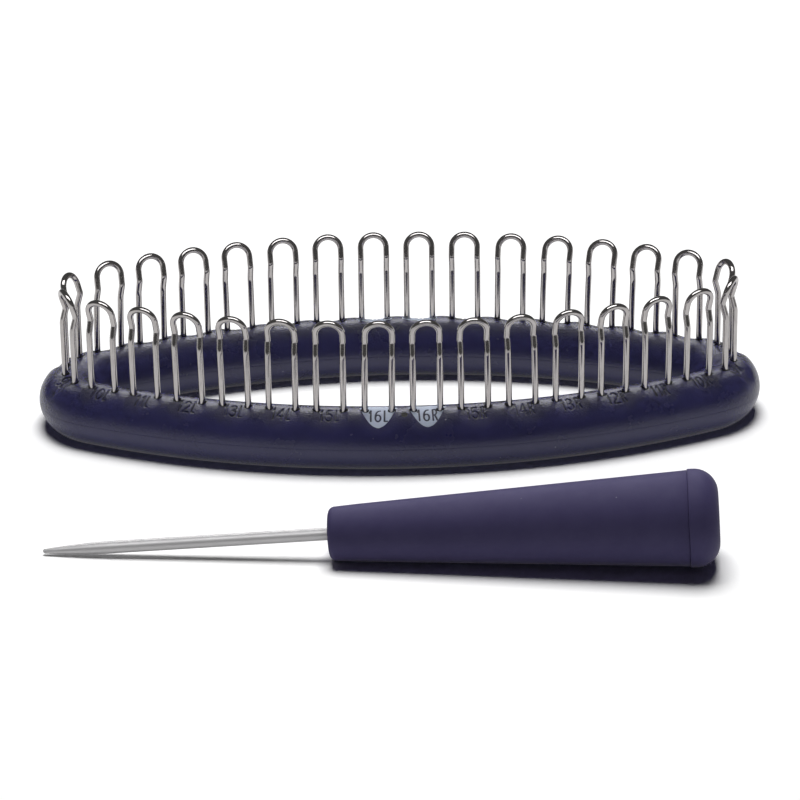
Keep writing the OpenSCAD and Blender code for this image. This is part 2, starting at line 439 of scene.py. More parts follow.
@dataclass
class RingMouldings:
    """Upper and lower moulding of the ring, with hollows, labels and leg mouths."""

    row: PinRow = field(default_factory=PinRow)
    font: IndexFont = field(default_factory=IndexFont)
    radius: float = 7.0
    seam_z: float = 6.2
    tube_q: float = -0.5
    foot_round: float = 0.35
    seam_groove: float = 0.012
    seam_land: float = 0.07
    scoop_depth: float = 0.65
    scoop_reach: float = 54.0
    scoop_centre: float = 27.0
    scoop_round: float = 13.0
    scoop_soft: float = 0.16
    mouth_radius: float = 0.9
    mouth_depth: float = 0.4
    mouth_slope: float = 0.2
    label_angle: float = 18.2
    label_depth: float = 0.24
    label_slopes: tuple[float, float] = (0.05, -0.19)
    marker_angle: float = 21.0
    marker_radius: float = 0.7
    marker_depth: float = 0.06
    marker_side: float = 0.35
    paint_half: float = 4.15
    paint_tip: float = 48.0
    paint_back: float = 13.0
    painted: tuple[str, ...] = ("16L", "16R", "1L", "1R")

    def column_runs(self) -> np.ndarray:
        """Run lengths of the mesh columns, close together at labels and legs."""
        half = self.row.pitch / 2
        label, legs = 2.35, 4.15
        right = np.concatenate([
            np.linspace(0.0, label, 17)[:-1],
            np.linspace(label, legs, 8)[:-1],
            np.linspace(legs, half, 5),
        ])
        one = np.concatenate([-right[:0:-1], right[:-1]])
        return np.concatenate([self.row.run(k) + one for k in range(self.row.count)])

    def upper_angles(self) -> np.ndarray:
        """Section angles of the upper moulding's rows, from the inner to the outer seam."""
        land = math.degrees(self.seam_land / self.radius)
        return np.concatenate([
            [-90.0, -90.0 + land],
            np.linspace(-84, -20, 7)[:-1],
            np.linspace(-20, -5, 4)[:-1],
            np.linspace(-5, 3, 8)[:-1],
            np.linspace(3, 38, 26)[:-1],
            np.linspace(38, 54, 6)[:-1],
            np.linspace(54, 84, 5),
            [90.0 - land, 90.0],
        ])

    def section_points(
        self, runs: np.ndarray, q: np.ndarray, z: np.ndarray
    ) -> np.ndarray:
        """Points in the shared frame from run lengths and section places.

        Args:
            runs: Run length of each point.
            q: Place outward from the pin line.
            z: Height above the table.

        Returns:
            X, Y and Z of each point, with the inputs' shape.
        """
        x, y, out = self.row.line.place(runs)
        return np.stack([x + q * np.cos(out), y + q * np.sin(out), z], axis=-1)

    def at_pin(self, k: int, points: np.ndarray) -> tuple[np.ndarray, np.ndarray]:
        """Places of points outward from and along the row at pin k.

        Args:
            k: Place of the pin in the row.
            points: Points in the shared frame.

        Returns:
            Outward and along-row places.
        """
        x, y, out = (float(value) for value in self.row.line.place(self.row.run(k)))
        dx, dy = points[..., 0] - x, points[..., 1] - y
        outward = dx * math.cos(out) + dy * math.sin(out)
        along = -dx * math.sin(out) + dy * math.cos(out)
        return outward, along

    def scoop(self, outward: np.ndarray, along: np.ndarray, z: np.ndarray) -> np.ndarray:
        """Depth of one pin's hollow.

        Args:
            outward: Outward places at the pin.
            along: Along-row places at the pin.
            z: Heights.

        Returns:
            Depth at each point.
        """
        span = math.radians(self.scoop_reach - self.scoop_centre)
        tilt = math.radians(self.scoop_centre)
        drop = self.scoop_depth / (1.0 - math.cos(span))
        hole = self.radius + drop * math.cos(span)
        from_axis = np.hypot(
            outward - self.tube_q + drop * math.sin(tilt),
            z - self.seam_z + drop * math.cos(tilt),
        )
        r = self.scoop_round
        sag = r - np.sqrt(np.maximum(r * r - along * along, 0.0))
        near = soft_step(self.row.pitch * 0.75, self.row.pitch * 0.45, np.abs(along))
        return soft_positive(from_axis - hole - sag, self.scoop_soft) * near

    def mouths(self, outward: np.ndarray, along: np.ndarray) -> np.ndarray:
        """Depth of the two open mouths round one pin's legs."""
        off = np.hypot(outward, np.abs(along) - self.row.leg_spacing / 2)
        edge = self.mouth_radius
        return self.mouth_depth * soft_step(edge, edge - self.mouth_slope, off)

    def mouth_edge(self, points: np.ndarray) -> np.ndarray:
        """Distance of points from the nearest leg mouth's edge, less than 0 inside."""
        best = np.full(points.shape[:2], 9.0)
        for k in range(self.row.count):
            outward, along = self.at_pin(k, points)
            off = np.hypot(outward, np.abs(along) - self.row.leg_spacing / 2)
            best = np.minimum(best, off - self.mouth_radius)
        return best

    def upper(self) -> bpy.types.Object:
        """Builds the upper moulding.

        Returns:
            The mesh object, with paint, stroke and recess shade values; the last marks the leg mouths
            and the marker dimple, where shade is painted.
        """
        runs, angles = self.column_runs(), np.radians(self.upper_angles())
        s, a = np.meshgrid(runs, angles, indexing="ij")
        q = self.tube_q + self.radius * np.sin(a)
        z = self.seam_z + self.radius * np.cos(a)
        points = self.section_points(s, q, z)
        hollow = np.zeros(s.shape)
        mouth = np.zeros(s.shape)
        stroke = np.full(s.shape, 1.0)
        paint = np.full(s.shape, -2.0)
        per_pin = len(runs) // self.row.count
        reach = per_pin * 3 // 2
        for k in range(self.row.count):
            middle = k * per_pin + per_pin // 2
            cols = np.arange(middle - reach, middle + reach + 1) % len(runs)
            outward, along = self.at_pin(k, points[cols])
            height = z[cols]
            hollow[cols] = np.maximum(hollow[cols], self.scoop(outward, along, height))
            mouth[cols] = np.maximum(mouth[cols], self.mouths(outward, along))
            turn = np.degrees(np.arctan2(outward - self.tube_q, height - self.seam_z))
            up = np.radians(self.label_angle - turn) * self.radius
            label = self.font.distance(self.row.label(k), along, up)
            stroke[cols] = np.minimum(stroke[cols], label)
            if self.row.label(k) in self.painted:
                outer = np.sqrt(np.clip(1.0 - turn / self.paint_tip, 0.0, 1.0))
                inner = np.sqrt(np.clip(1.0 + turn / self.paint_back, 0.0, 1.0))
                half = self.paint_half * outer * np.minimum(inner * 1.15, 1.0)
                edge = np.where((turn < self.paint_tip) & (turn > -self.paint_back),
                                half - np.abs(along), -2.0)
                paint[cols] = np.maximum(paint[cols], edge)
        whole = 4.0 * self.row.line.quarter
        from_mark = np.hypot(
            (s - self.marker_side + whole / 2) % whole - whole / 2,
            (a - math.radians(self.marker_angle)) * self.radius,
        )
        marker = soft_step(self.marker_radius, self.marker_radius - 0.3, from_mark)
        cut = soft_step(*self.label_slopes, stroke)
        depth = hollow + mouth + self.label_depth * cut + self.marker_depth * marker
        depth[:, [0, -1]] = self.seam_groove
        q = self.tube_q + (self.radius - depth) * np.sin(a)
        z = self.seam_z + (self.radius - depth) * np.cos(a)
        skin = self.section_points(s, q, z)
        under = self.under_rows(runs, sign=1.0)
        points = np.concatenate([skin, under], axis=1)
        quads = grid_quads(points.shape[0], points.shape[1], True, True)
        piece = make_piece("upper_moulding", points.reshape(-1, 3), quads.tolist())
        blank = np.zeros((len(runs), under.shape[1]))
        add_value(piece, "stroke", np.concatenate([np.clip(stroke, -1, 1), blank + 1], 1))
        add_value(piece, "paint", np.concatenate([np.clip(paint, -2, 2), blank - 2], 1))
        # Distance to the leg mouths and the marker dimple, which the shader fills with painted shade.
        edge = np.minimum(self.mouth_edge(points[:, : s.shape[1]]), from_mark - self.marker_radius)
        add_value(piece, "recess_shade", np.concatenate([np.clip(edge, -1, 1), blank + 1], 1))
        return piece

    def under_rows(self, runs: np.ndarray, sign: float) -> np.ndarray:
        """Rows that close a moulding at the seam, a little inside it.

        Args:
            runs: Run lengths of the columns.
            sign: 1 for the upper moulding and -1 for the lower one.

        Returns:
            Points of the closing rows.
        """
        inside = self.radius - 1.2
        q = self.tube_q + np.array([inside, -inside]) * sign
        s, qq = np.meshgrid(runs, q, indexing="ij")
        return self.section_points(s, qq, np.full(s.shape, self.seam_z + 0.2 * sign))

    def lower_section(self) -> tuple[np.ndarray, np.ndarray]:
        """Section of the lower moulding from the outer to the inner seam.

        Returns:
            Outward places and heights.
        """
        land = self.seam_land / self.radius
        foot = math.acos(-self.seam_z / self.radius)
        bend = self.foot_round / self.radius
        side = np.concatenate([
            [math.pi / 2 + land],
            np.linspace(math.pi / 2 + 0.08, foot - 2 * bend, 12),
        ])
        q = [self.radius - self.seam_groove, *(self.radius * np.sin(side))]
        z = [self.seam_z, *(self.seam_z + self.radius * np.cos(side))]
        edge = self.radius * math.sin(foot)
        start = np.array([q[-1], z[-1]])
        corner = np.array([edge, 0.0])
        end = np.array([edge - 2 * self.foot_round, 0.0])
        for t in np.linspace(0.2, 1.0, 5):
            p = (1 - t) ** 2 * start + 2 * t * (1 - t) * corner + t * t * end
            q.append(float(p[0]))
            z.append(float(p[1]))
        q += [0.5 * q[-1]]
        z += [0.0]
        q_all = np.array(q + [-value for value in q[::-1]])
        z_all = np.array(z + z[::-1])
        return self.tube_q + q_all, z_all

    def lower(self) -> bpy.types.Object:
        """Builds the lower moulding with its rounded foot.

        Returns:
            The mesh object.
        """
        runs = np.linspace(0.0, 4.0 * self.row.line.quarter, 641)[:-1]
        q, z = self.lower_section()
        s, qq = np.meshgrid(runs, q, indexing="ij")
        zz = np.broadcast_to(z, s.shape)
        points = np.concatenate(
            [self.section_points(s, qq, zz), self.under_rows(runs, sign=-1.0)], axis=1
        )
        quads = grid_quads(points.shape[0], points.shape[1], True, True)
        return make_piece("lower_moulding", points.reshape(-1, 3), quads.tolist())

    def dress(
        self, finish: "RingFinish", groups: "SharedGroups"
    ) -> tuple[bpy.types.Object, bpy.types.Object]:
        """Builds, paints and places both mouldings.

        Args:
            finish: Finish of the plastic and its paint.
            groups: Shared shader groups.

        Returns:
            The upper and the lower moulding.
        """
        upper, lower = self.upper(), self.lower()
        upper.data.materials.append(finish.material(groups, marked=True))
        lower.data.materials.append(finish.material(groups, marked=False))
        place_piece(upper, Body.LOOM, ["ring_top"])
        place_piece(lower, Body.LOOM, ["ring_base"])
        return upper, lower


def rounded_path(corners: np.ndarray, radii: list[float], steps: int) -> np.ndarray:
    """Follows straight lines between corners and rounds the inner corners.

    Args:
        corners: Points of the line.
        radii: Bend radius at each inner corner.
        steps: Pieces per bend.

    Returns:
        Points along the rounded line.
    """
    path = [corners[0]]
    for before, at, after, radius in zip(corners, corners[1:], corners[2:], radii):
        d0 = (at - before) / np.linalg.norm(at - before)
        d1 = (after - at) / np.linalg.norm(after - at)
        turn = math.acos(float(np.clip(d0 @ d1, -1.0, 1.0)))
        reach = radius * math.tan(turn / 2)
        side = d1 - d0 * (d0 @ d1)
        side /= np.linalg.norm(side)
        start = at - d0 * reach
        for k in range(steps + 1):
            a = turn * k / steps
            path.append(start + d0 * radius * math.sin(a) + side * radius * (1 - math.cos(a)))
    path.append(corners[-1])
    return np.array(path)


def swept_tube(
    path: np.ndarray, radius: float, sides: int
) -> tuple[np.ndarray, list[list[int]], np.ndarray]:
    """Round tube along a path, closed at both ends.

    Args:
        path: Points of the middle line.
        radius: Tube radius.
        sides: Number of sides.

    Returns:
        Vertices, faces, and for each vertex its place round and along the tube.
    """
    tangents = np.gradient(path, axis=0)
    tangents /= np.linalg.norm(tangents, axis=1, keepdims=True)
    normal = np.array([1.0, 0.0, 0.0])
    lengths = np.concatenate([[0.0], np.cumsum(np.linalg.norm(np.diff(path, axis=0), axis=1))])
    turn = np.linspace(0.0, 2 * math.pi, sides, endpoint=False)
    points, coords = [], []
    for middle, tangent, run in zip(path, tangents, lengths):
        normal = normal - tangent * (normal @ tangent)
        normal /= np.linalg.norm(normal)
        other = np.cross(tangent, normal)
        ring = middle + radius * (
            np.outer(np.cos(turn), normal) + np.outer(np.sin(turn), other)
        )
        points.append(ring)
        coords.append(np.stack([np.cos(turn), np.sin(turn), np.full(sides, run)], axis=-1))
    faces = grid_quads(len(path), sides, False, True).tolist()
    last = (len(path) - 1) * sides
    faces.append(list(range(sides - 1, -1, -1)))
    faces.append(list(range(last, last + sides)))
    return np.concatenate(points), faces, np.concatenate(coords)


@dataclass
class WirePins:
    """Bent wire pins that stand in the ring."""

    row: PinRow = field(default_factory=PinRow)
    wire_radius: float = 0.7
    leg_bottom: float = 3.4
    lean_z: float = 25.514
    kink_z: float = 28.6
    kink_inset: float = 0.9
    kink_slope: float = 16.26
    spring_q: float = -0.2525
    spring_z: float = 30.82
    lean_bend: float = 5.0
    kink_bend: float = 1.3
    sides: int = 16
    bend_steps: int = 6
    arch_steps: int = 28
    leg_steps: int = 6
    stray_lean: float = 0.15
    stray_kink: float = 0.25
    leans: dict[str, float] = field(default_factory=lambda: {
        "7L": 1.0, "6L": 0.5, "4L": -0.3, "3R": 0.35, "4R": 0.75, "5R": 0.7, "6R": 0.65,
        "8R": -0.6, "16L": 0.35, "12L": -0.4, "13L": -0.4, "14R": -0.4, "15R": -0.2,
    })

    def leg_line(self, along: float, kink_shift: float) -> np.ndarray:
        """Middle line of one leg from its end up to the arch.

        Args:
            along: Place of the leg along the row.
            kink_shift: Small change of the kink's height.

        Returns:
            Points as outward, along and up.
        """
        corners = np.array([
            [0.0, along, self.leg_bottom],
            [0.0, along, self.lean_z + kink_shift],
            [-self.kink_inset, along, self.kink_z + kink_shift],
            [self.spring_q, along, self.spring_z],
        ])
        path = rounded_path(corners, [self.lean_bend, self.kink_bend], self.bend_steps)
        straight = np.linspace(path[0], path[1], self.leg_steps + 1)[:-1]
        return np.concatenate([straight, path[1:]])

    def middle_line(self, kink_shifts: tuple[float, float]) -> np.ndarray:
        """Middle line of a whole pin, from one leg end to the other.

        Args:
            kink_shifts: Small changes of the two kinks' heights.

        Returns:
            Points as outward, along and up.
        """
        half = self.row.leg_spacing / 2
        slope = math.radians(self.kink_slope)
        rise = np.array([math.sin(slope), 0.0, math.cos(slope)])
        centre = np.array([self.spring_q, 0.0, self.spring_z])
        arch = [
            centre + half * (math.cos(t) * np.array([0.0, 1.0, 0.0]) + math.sin(t) * rise)
            for t in np.linspace(0.0, math.pi, self.arch_steps + 1)[1:-1]
        ]
        first = self.leg_line(half, kink_shifts[0])
        second = self.leg_line(-half, kink_shifts[1])[::-1]
        return np.concatenate([first, arch, second])

    def stray(self, path: np.ndarray, tilt: float, rng: np.random.Generator) -> np.ndarray:
        """Leans a pin's free part a little, as bent wire does.

        Args:
            path: Middle line of the pin.
            tilt: Lean of its top along the row.
            rng: Seeded source of chance.

        Returns:
            The leaned middle line.
        """
        free = np.clip((path[:, 2] - 13.0) / 21.0, 0.0, 1.0) ** 1.5
        moved = path.copy()
        moved[:, 1] += free * tilt
        moved[:, 0] += free * (rng.uniform(-1.0, 1.0) - 0.4) * self.stray_lean
        return moved

    def build(self) -> list[bpy.types.Object]:
        """Builds every pin in its place on the oval.

        Returns:
            The pins in order from the front middle to the right.
        """
        rng = np.random.default_rng(SEED)
        pins = []
        for k in range(self.row.count):
            shifts = rng.uniform(-self.stray_kink, self.stray_kink, 2)
            x, y, out = (float(value) for value in self.row.line.place(self.row.run(k)))
            c, s = math.cos(out), math.sin(out)
            tilt = -s * self.leans.get(self.row.label(k), 0.0)
            path = self.stray(self.middle_line((shifts[0], shifts[1])), tilt, rng)
            local, faces, coords = swept_tube(path, self.wire_radius, self.sides)
            points = np.stack([
                x + local[:, 0] * c - local[:, 1] * s,
                y + local[:, 0] * s + local[:, 1] * c,
                local[:, 2],
            ], axis=-1)
            pin = make_piece(f"wire_{self.row.node(k)}", points, faces)
            add_vector(pin, "wire_place", coords + [0.0, 0.0, 90.0 * k])
            pins.append(pin)
        return pins

    def dress(self, finish: "WireFinish", groups: "SharedGroups") -> list[bpy.types.Object]:
        """Builds, paints and places all pins.

        Args:
            finish: Finish of the wire.
            groups: Shared shader groups.

        Returns:
            The pins.
        """
        material = finish.material(groups)
        pins = self.build()
        for k, pin in enumerate(pins):
            pin.data.materials.append(material)
            place_piece(pin, Body.LOOM, [self.row.node(k)])
        return pins


def turned_piece(
    name: str, profile: np.ndarray, sides: int, place: Matrix
) -> bpy.types.Object:
    """Turned piece from a closed profile, along its own Z axis.

    Args:
        name: Name of the piece.
        profile: Radius and height of each profile point; ends on the axis.
        sides: Number of sides.
        place: Where the piece lies, in millimetres.

    Returns:
        The mesh object.
    """
    turn = np.linspace(0.0, 2 * math.pi, sides, endpoint=False)
    rings = profile[1:-1]
    r, t = np.meshgrid(rings[:, 0], turn, indexing="ij")
    z = np.broadcast_to(rings[:, 1][:, None], r.shape)
    points = np.stack([r * np.cos(t), r * np.sin(t), z], axis=-1).reshape(-1, 3)
    faces = grid_quads(len(rings), sides, False, True).tolist()
    first, last = len(points), len(points) + 1
    points = np.concatenate([points, [[0, 0, profile[0, 1]], [0, 0, profile[-1, 1]]]])
    top = (len(rings) - 1) * sides
    for k in range(sides):
        n = (k + 1) % sides
        faces.append([first, n, k])
        faces.append([last, top + k, top + n])
    turn_back = np.array(place.to_3x3())
    points = points @ turn_back.T + np.array(place.translation)
    return make_piece(name, points, faces)


def round_corner(
    cx: float, cz: float, radius: float, start: float, end: float, steps: int
) -> list[list[float]]:
    """Points of a rounded profile corner.

    Args:
        cx: Middle of the corner, out from the axis.
        cz: Middle of the corner, along the axis.
        radius: Corner radius.
        start: First angle in degrees.
        end: Last angle in degrees.
        steps: Pieces in the corner.

    Returns:
        Radius and height of each point.
    """
    angles = np.radians(np.linspace(start, end, steps + 1))
    return [[cx + radius * math.cos(a), cz + radius * math.sin(a)] for a in angles]


@dataclass
class Pick:
    """Pick with a tapered sleeve, a rounded end cap and a needle."""

    sleeve_length: float = 74.7
    nose_radius: float = 5.65
    seam_radius: float = 9.95
    nose_round: float = 1.4
    nose_dome: float = 0.6
    cap_length: float = 6.3
    cap_lip: float = 0.25
    cap_round: float = 5.0
    seam_bevel: float = 0.08
    needle_radius: float = 1.325
    needle_length: float = 60.5
    needle_hold: float = 17.8
    taper_length: float = 15.0
    tip_radius: float = 0.5
    tip_lift: float = 0.3
    place_x: float = -16.5
    place_y: float = -76.15
    turn: float = -4.5
    sides: int = 96

    @property
    def slope(self) -> float:
        """Growth of the sleeve's radius along its length."""
        return (self.seam_radius - self.nose_radius) / self.sleeve_length

    @property
    def rest_tilt(self) -> float:
        """Angle at which the sleeve lies on the table."""
        rise = self.seam_radius + self.cap_lip - self.nose_radius
        return math.atan2(
            rise - self.slope * self.nose_round, self.sleeve_length - self.nose_round
        )

    @property
    def nose_z(self) -> float:
        """Height of the middle of the nose."""
        r = self.nose_radius + self.slope * self.nose_round
        return r * math.cos(self.rest_tilt) - self.nose_round * math.sin(self.rest_tilt)

    def place(self) -> Matrix:
        """Where the sleeve lies, with its own Z from the nose to the butt."""
        return (
            Matrix.Translation((self.place_x, self.place_y, self.nose_z))
            @ Matrix.Rotation(math.radians(self.turn), 4, "Z")
            @ Matrix.Rotation(math.pi / 2 - self.rest_tilt, 4, "Y")
        )

    def needle_place(self) -> Matrix:
        """Where the needle lies, set down so that its tip almost meets the table."""
        drop = (self.nose_z - self.tip_radius - self.tip_lift) / self.needle_length
        return self.place() @ Matrix.Rotation(self.rest_tilt - math.asin(drop), 4, "Y")

    def sleeve(self) -> bpy.types.Object:
        """Builds the sleeve with its domed nose and needle hole."""
        edge = self.nose_round
        hole = self.needle_radius + 0.06
        rim = [self.nose_radius - edge, edge]
        corner = round_corner(rim[0], rim[1], edge, -80, 0, 9)
        flat = corner[0]
        face = [
            [hole + (flat[0] - hole) * t,
             flat[1] - (1.0 - ((hole + (flat[0] - hole) * t) / flat[0]) ** 2) * 0.3]
            for t in (0.0, 0.25, 0.5, 0.75)
        ]
        end = self.sleeve_length
        bevel = self.seam_bevel
        body = [
            [self.nose_radius + self.slope * z, z]
            for z in np.linspace(edge, end - bevel, 16)[1:]
        ]
        profile = np.array(
            [[0.0, 2.4], [hole, 2.4], [hole, 0.4], *face, *corner, *body,
             [self.seam_radius - bevel, end], [self.seam_radius - 2.0, end], [0.0, end]]
        )
        return turned_piece("pick_sleeve", profile, self.sides, self.place())

    def cap(self) -> bpy.types.Object:
        """Builds the end cap with its proud lip."""
        lip = self.seam_radius + self.cap_lip
        base, top = self.sleeve_length + 0.01, self.sleeve_length + self.cap_length
        corner = round_corner(lip - self.cap_round, top - self.cap_round, self.cap_round, 0, 88, 14)
        crown = [[corner[-1][0] * t, top - 0.01 * t] for t in (0.7, 0.4)]
        profile = np.array(
            [[0.0, base], [lip - 1.5, base], [lip - 0.3, base],
             [lip - 0.08, base + 0.03], [lip, base + 0.16], [lip, base + 0.7],
             *corner, *crown, [0.0, top]]
        )
        return turned_piece("pick_end_cap", profile, self.sides, self.place())

    def needle(self) -> bpy.types.Object:
        """Builds the needle with its taper and blunt tip."""
        tip = -self.needle_length
        start = round_corner(0.0, tip + self.tip_radius, self.tip_radius, -82, -4, 6)
        grow = self.needle_radius - self.tip_radius
        taper = [
            [self.tip_radius + grow * math.sin(t * math.pi / 2) ** 0.92 if t < 1 else self.needle_radius,
             tip + self.tip_radius + (self.taper_length - self.tip_radius) * t]
            for t in np.linspace(0.08, 1.0, 14)
        ]
        shaft = [
            [self.needle_radius, z]
            for z in np.linspace(tip + self.taper_length, self.needle_hold, 20)[1:]
        ]
        profile = np.array([[0.0, tip], *start, *taper, *shaft, [0.0, self.needle_hold]])
        return turned_piece("pick_needle_rod", profile, 48, self.needle_place())

    def dress(
        self, handle: "HandleFinish", metal: "NeedleFinish", groups: "SharedGroups"
    ) -> tuple[bpy.types.Object, bpy.types.Object, bpy.types.Object]:
        """Builds, paints and places the three pieces of the pick.

        Args:
            handle: Finish of the sleeve and cap.
            metal: Finish of the needle.
            groups: Shared shader groups.

        Returns:
            The sleeve, the cap and the needle.
        """
        sleeve, cap, needle = self.sleeve(), self.cap(), self.needle()
        plastic = handle.material(groups)
        sleeve.data.materials.append(plastic)
        cap.data.materials.append(plastic)
        needle.data.materials.append(metal.material(groups))
        place_piece(sleeve, Body.PICK, ["pick_handle"])
        place_piece(cap, Body.PICK, ["pick_cap"])
        place_piece(needle, Body.PICK, ["pick_needle"])
        return sleeve, cap, needle


class NodeBoard:
    """Short calls for adding and joining shader nodes in one tree."""

    def __init__(self, tree: bpy.types.NodeTree) -> None:
        """Keeps the tree that nodes go into."""
        self.tree = tree

    def add(self, kind: str, **settings: object) -> bpy.types.Node:
        """Adds a node and sets its properties and its inputs by name.

        Args:
            kind: Blender's node type.
            **settings: Properties of the node, or inputs with spaces as underscores.

        Returns:
            The new node.
        """
        node = self.tree.nodes.new(kind)
        for key, value in settings.items():
            if hasattr(node, key):
                setattr(node, key, value)
            else:
                node.inputs[key.replace("_", " ")].default_value = value
        return node

    def join(self, out: bpy.types.NodeSocket, into: bpy.types.NodeSocket) -> None:
        """Joins two sockets."""
        self.tree.links.new(out, into)

    def math(self, operation: str, a: object, b: object = 0.0) -> bpy.types.NodeSocket:
        """Adds a math node on two sockets or numbers.

        Args:
            operation: Blender's operation name.
            a: First socket or number.
            b: Second socket or number.

        Returns:
            The result socket.
        """
        node = self.tree.nodes.new("ShaderNodeMath")
        node.operation = operation
        for socket, value in zip(node.inputs, (a, b)):
            if isinstance(value, bpy.types.NodeSocket):
                self.join(value, socket)
            else:
                socket.default_value = value
        return node.outputs[0]

    def spread(
        self, value: bpy.types.NodeSocket, low: float, high: float, start: float, end: float
    ) -> bpy.types.NodeSocket:
        """Maps a value smoothly from low..high to start..end.

        Args:
            value: Socket to map.
            low: Value that gives start.
            high: Value that gives end.
            start: Result at low.
            end: Result at high.

        Returns:
            The result socket.
        """
        node = self.tree.nodes.new("ShaderNodeMapRange")
        node.interpolation_type = "SMOOTHSTEP"
        self.join(value, node.inputs["Value"])
        for name, number in zip(("From Min", "From Max", "To Min", "To Max"), (low, high, start, end)):
            node.inputs[name].default_value = number
        return node.outputs["Result"]

    def mix(self, factor: bpy.types.NodeSocket, a: object, b: object) -> bpy.types.NodeSocket:
        """Mixes two colours by a factor socket.

        Args:
            factor: Mask from 0 to 1.
            a: Colour or socket at 0.
            b: Colour or socket at 1.

        Returns:
            The colour socket.
        """
        node = self.tree.nodes.new("ShaderNodeMix")
        node.data_type = "RGBA"
        self.join(factor, node.inputs["Factor"])
        for socket, value in ((node.inputs[6], a), (node.inputs[7], b)):
            if isinstance(value, bpy.types.NodeSocket):
                self.join(value, socket)
            else:
                socket.default_value = (*value, 1.0)
        return node.outputs[2]


class SharedGroups:
    """Shader groups that several finishes use, each built once."""

    def __init__(self) -> None:
        """Builds the groups."""
        self.grain = self._grain()
        self.specks = self._specks()
        self.drawn = self._drawn()

    @staticmethod
    def _new(
        name: str, inputs: dict[str, str], outputs: list[str]
    ) -> tuple[bpy.types.NodeTree, NodeBoard, bpy.types.Node, bpy.types.Node]:
        """Makes an empty group with its sockets.

        Args:
            name: Group name.
            inputs: Socket type of each input.
            outputs: Names of the value outputs.

        Returns:
            The group, its board, and its input and output nodes.
        """
        group = bpy.data.node_groups.new(name, "ShaderNodeTree")
        for key, kind in inputs.items():
            group.interface.new_socket(name=key, in_out="INPUT", socket_type=kind)
        for key in outputs:
            group.interface.new_socket(name=key, in_out="OUTPUT", socket_type="NodeSocketFloat")
        board = NodeBoard(group)
        return group, board, board.add("NodeGroupInput"), board.add("NodeGroupOutput")

    def _grain(self) -> bpy.types.NodeTree:
        """Fine moulded grain with slow, faint mottling."""
        group, board, source, result = self._new(
            "moulded_grain",
            {"Vector": "NodeSocketVector", "Fineness": "NodeSocketFloat"},
            ["Height", "Mottle"],
        )
        fine = board.add("ShaderNodeTexNoise", Detail=3.0, Roughness=0.6)
        slow = board.add("ShaderNodeTexNoise", Detail=4.0, Roughness=0.65)
        for node in (fine, slow):
            board.join(source.outputs["Vector"], node.inputs["Vector"])
        board.join(source.outputs["Fineness"], fine.inputs["Scale"])
        board.join(
            board.math("MULTIPLY", source.outputs["Fineness"], 0.04), slow.inputs["Scale"]
        )
        board.join(fine.outputs["Fac"], result.inputs["Height"])
        board.join(board.spread(slow.outputs["Fac"], 0.32, 0.68, 0.0, 1.0), result.inputs["Mottle"])
        return group

    def _specks(self) -> bpy.types.NodeTree:
        """Sparse dust specks and short lint marks."""
        group, board, source, result = self._new(
            "dust_specks",
            {
                "Vector": "NodeSocketVector",
                "Spacing": "NodeSocketFloat",
                "Size": "NodeSocketFloat",
                "Share": "NodeSocketFloat",
            },
            ["Mask"],
        )
        cells = board.add("ShaderNodeTexVoronoi", Randomness=1.0)
        board.join(source.outputs["Vector"], cells.inputs["Vector"])
        board.join(source.outputs["Spacing"], cells.inputs["Scale"])
        pick = board.add("ShaderNodeSeparateColor")
        board.join(cells.outputs["Color"], pick.inputs["Color"])
        chosen = board.math("LESS_THAN", pick.outputs[0], source.outputs["Share"])
        size = board.math("MULTIPLY", source.outputs["Size"], board.math("ADD", pick.outputs[1], 0.35))
        inside = board.math("SUBTRACT", size, cells.outputs["Distance"])
        edge = board.math("MULTIPLY", board.math("DIVIDE", inside, source.outputs["Size"]), 3.0)
        soft = board.math("MINIMUM", board.math("MAXIMUM", edge, 0.0), 1.0)
        bright = board.math("MULTIPLY", soft, board.math("ADD", pick.outputs[2], 0.15))
        board.join(board.math("MULTIPLY", bright, chosen), result.inputs["Mask"])
        return group

    def _drawn(self) -> bpy.types.NodeTree:
        """Long drawing streaks and small nicks along a wire or rod."""
        group, board, source, result = self._new(
            "drawn_metal",
            {
                "Vector": "NodeSocketVector",
                "Across": "NodeSocketFloat",
                "Along": "NodeSocketFloat",
            },
            ["Streak", "Nick"],
        )
        parts = board.add("ShaderNodeSeparateXYZ")
        board.join(source.outputs["Vector"], parts.inputs[0])
        stretched = board.add("ShaderNodeCombineXYZ")
        for axis, scale in (("X", "Across"), ("Y", "Across"), ("Z", "Along")):
            board.join(
                board.math("MULTIPLY", parts.outputs[axis], source.outputs[scale]),
                stretched.inputs[axis],
            )
        streak = board.add("ShaderNodeTexNoise", Scale=1.0, Detail=5.0, Roughness=0.65)
        board.join(stretched.outputs[0], streak.inputs["Vector"])
        nick = board.add("ShaderNodeTexNoise", Scale=2.1, Detail=2.0, Roughness=0.5)
        board.join(source.outputs["Vector"], nick.inputs["Vector"])
        board.join(streak.outputs["Fac"], result.inputs["Streak"])
        board.join(board.spread(nick.outputs["Fac"], 0.62, 0.74, 0.0, 1.0), result.inputs["Nick"])
        return group


def new_material(name: str) -> tuple[bpy.types.Material, NodeBoard, bpy.types.Node]:
    """Makes a material with a Principled shader.

    Args:
        name: Name of the material.

    Returns:
        The material, its board and the shader node.
    """
    material = bpy.data.materials.new(name)
    material.use_nodes = True
    board = NodeBoard(material.node_tree)
    return material, board, material.node_tree.nodes["Principled BSDF"]


